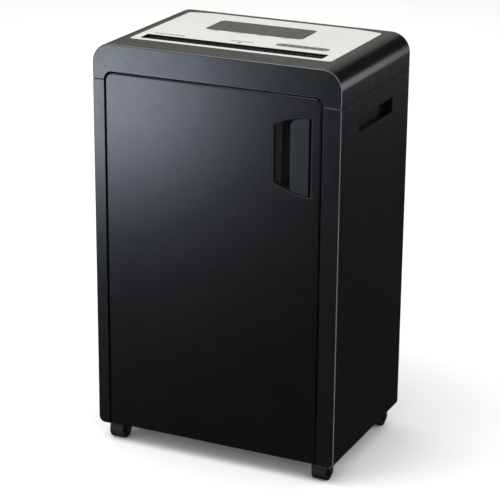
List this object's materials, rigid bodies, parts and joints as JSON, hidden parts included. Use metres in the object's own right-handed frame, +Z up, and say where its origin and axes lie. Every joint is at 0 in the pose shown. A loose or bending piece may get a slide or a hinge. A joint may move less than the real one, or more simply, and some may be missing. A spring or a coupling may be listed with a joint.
{
  "type": "paper shredder",
  "caption": "Free-standing office paper shredder: wide feed slot in a top control panel, geared cutter rolls, hinged front door with flap handle, waste bin, rollers.",
  "frame": {"origin": "on the floor under the middle of the cabinet", "axes": "+X to the right seen from the front, +Y to the rear, +Z up; the door faces -Y"},
  "size_m": [0.41, 0.275, 0.659],
  "materials": {
    "shell_plastic": "fine grained moulded ABS",
    "door_plastic": "satin gloss moulded ABS",
    "inner_plastic": "plain moulded black plastic",
    "white_plastic": "satin white moulded ABS",
    "window_plastic": "smoked acrylic",
    "paddle_plastic": "fine grained moulded ABS",
    "bin_plastic": "moulded polypropylene",
    "circuit_board": "glass epoxy board",
    "zinc_steel": "zinc plated sheet",
    "ground_steel": "ground bar",
    "hardened_steel": "hardened and oiled",
    "gear_steel": "cut steel, oiled",
    "bronze": "sintered bronze",
    "motor_aluminium": "die cast",
    "stator_iron": "laminated steel",
    "wheel_rubber": "moulded nylon roller",
    "black_steel": "black powder coat"
  },
  "bodies": {
    "cabinet": {"base_tray": "inner_plastic", "bin_full_sensor": "inner_plastic", "catch_magnet": "inner_plastic", "chassis_plate": "zinc_steel", "comb_front": "inner_plastic", "comb_rear": "inner_plastic", "control_board": "circuit_board", "cutter_plate_left": "zinc_steel", "cutter_plate_right": "zinc_steel", "display_window": "window_plastic", "door_switch": "inner_plastic", "entry_sensor": "inner_plastic", "gear_cover": "inner_plastic", "gear_pin": "ground_steel", "grip_cup_left": "shell_plastic", "grip_cup_right": "shell_plastic", "hinge_leaf_lower": "zinc_steel", "hinge_leaf_upper": "zinc_steel", "hinge_pins": "ground_steel", "hood": "shell_plastic", "motor_bearings": "bronze", "motor_housing": "motor_aluminium", "motor_stator": "stator_iron", "paper_throat": "inner_plastic", "power_board": "circuit_board", "power_inlet": "inner_plastic", "rear_panel": "shell_plastic", "rear_screws": "zinc_steel", "roll_bearings": "bronze", "run_capacitor": "white_plastic", "side_panel_left": "shell_plastic", "side_panel_right": "shell_plastic", "switch_frame": "inner_plastic", "tie_rods": "ground_steel", "top_panel": "white_plastic", "waste_bin": "bin_plastic", "wheel_axles": "ground_steel", "wheel_brackets": "black_steel"},
    "door": {"door_panel": "door_plastic", "door_liner": "bin_plastic", "handle_cup": "inner_plastic", "keeper_plate": "zinc_steel", "paddle_pin": "ground_steel", "paddle_spring": "ground_steel"},
    "paddle": {"handle_paddle": "paddle_plastic"},
    "front_roll": {"cutter_roll_front": "hardened_steel", "roll_gear_front": "gear_steel"},
    "rear_roll": {"cutter_roll_rear": "hardened_steel", "roll_gear_rear": "gear_steel", "drive_gear": "gear_steel"},
    "intermediate": {"intermediate_gear": "gear_steel"},
    "rotor": {"motor_rotor": "stator_iron", "motor_pinion": "gear_steel", "motor_fan": "inner_plastic"},
    "rocker": {"switch_rocker": "inner_plastic"},
    "wheel_front_left": {"wheel_front_left": "wheel_rubber"},
    "wheel_front_right": {"wheel_front_right": "wheel_rubber"},
    "wheel_rear_left": {"wheel_rear_left": "wheel_rubber"},
    "wheel_rear_right": {"wheel_rear_right": "wheel_rubber"}
  },
  "joints": [
    {"name": "door_hinge", "type": "hinge", "parent": "cabinet", "child": "door", "pos_m": [-0.1715, -0.132, 0.32], "axis": [0, 0, 1], "range_deg": [-100, 0]},
    {"name": "handle_pull", "type": "hinge", "parent": "door", "child": "paddle", "pos_m": [0.152, -0.1315, 0.522], "axis": [0, 0, 1], "range_deg": [0, 14], "stiffness_Nm_per_rad": 0.4},
    {"name": "rear_roll_spin", "type": "hinge", "parent": "cabinet", "child": "rear_roll", "pos_m": [-0.003, -0.048, 0.6], "axis": [1, 0, 0], "continuous": true},
    {"name": "front_roll_spin", "type": "hinge", "parent": "cabinet", "child": "front_roll", "pos_m": [-0.003, -0.084, 0.6], "axis": [1, 0, 0], "continuous": true},
    {"name": "intermediate_spin", "type": "hinge", "parent": "cabinet", "child": "intermediate", "pos_m": [0.17, 0.004, 0.5806], "axis": [1, 0, 0], "continuous": true},
    {"name": "motor_spin", "type": "hinge", "parent": "cabinet", "child": "rotor", "pos_m": [0.08, 0.04, 0.59494], "axis": [1, 0, 0], "continuous": true},
    {"name": "rocker_tilt", "type": "hinge", "parent": "cabinet", "child": "rocker", "pos_m": [0.078, 0.131, 0.567], "axis": [1, 0, 0], "range_deg": [0, 14]},
    {"name": "wheel_front_left_roll", "type": "hinge", "parent": "cabinet", "child": "wheel_front_left", "pos_m": [-0.1779, -0.114, 0.0157], "axis": [1, 0, 0], "continuous": true},
    {"name": "wheel_front_right_roll", "type": "hinge", "parent": "cabinet", "child": "wheel_front_right", "pos_m": [0.1779, -0.114, 0.0157], "axis": [1, 0, 0], "continuous": true},
    {"name": "wheel_rear_left_roll", "type": "hinge", "parent": "cabinet", "child": "wheel_rear_left", "pos_m": [-0.1779, 0.114, 0.0157], "axis": [1, 0, 0], "continuous": true},
    {"name": "wheel_rear_right_roll", "type": "hinge", "parent": "cabinet", "child": "wheel_rear_right", "pos_m": [0.1779, 0.114, 0.0157], "axis": [1, 0, 0], "continuous": true}
  ],
  "couplings": [
    {"joint": "front_roll_spin", "follows": "rear_roll_spin", "ratio": -1},
    {"joint": "intermediate_spin", "follows": "rear_roll_spin", "ratio": -4.2857},
    {"joint": "motor_spin", "follows": "rear_roll_spin", "ratio": 14.694}
  ]
}
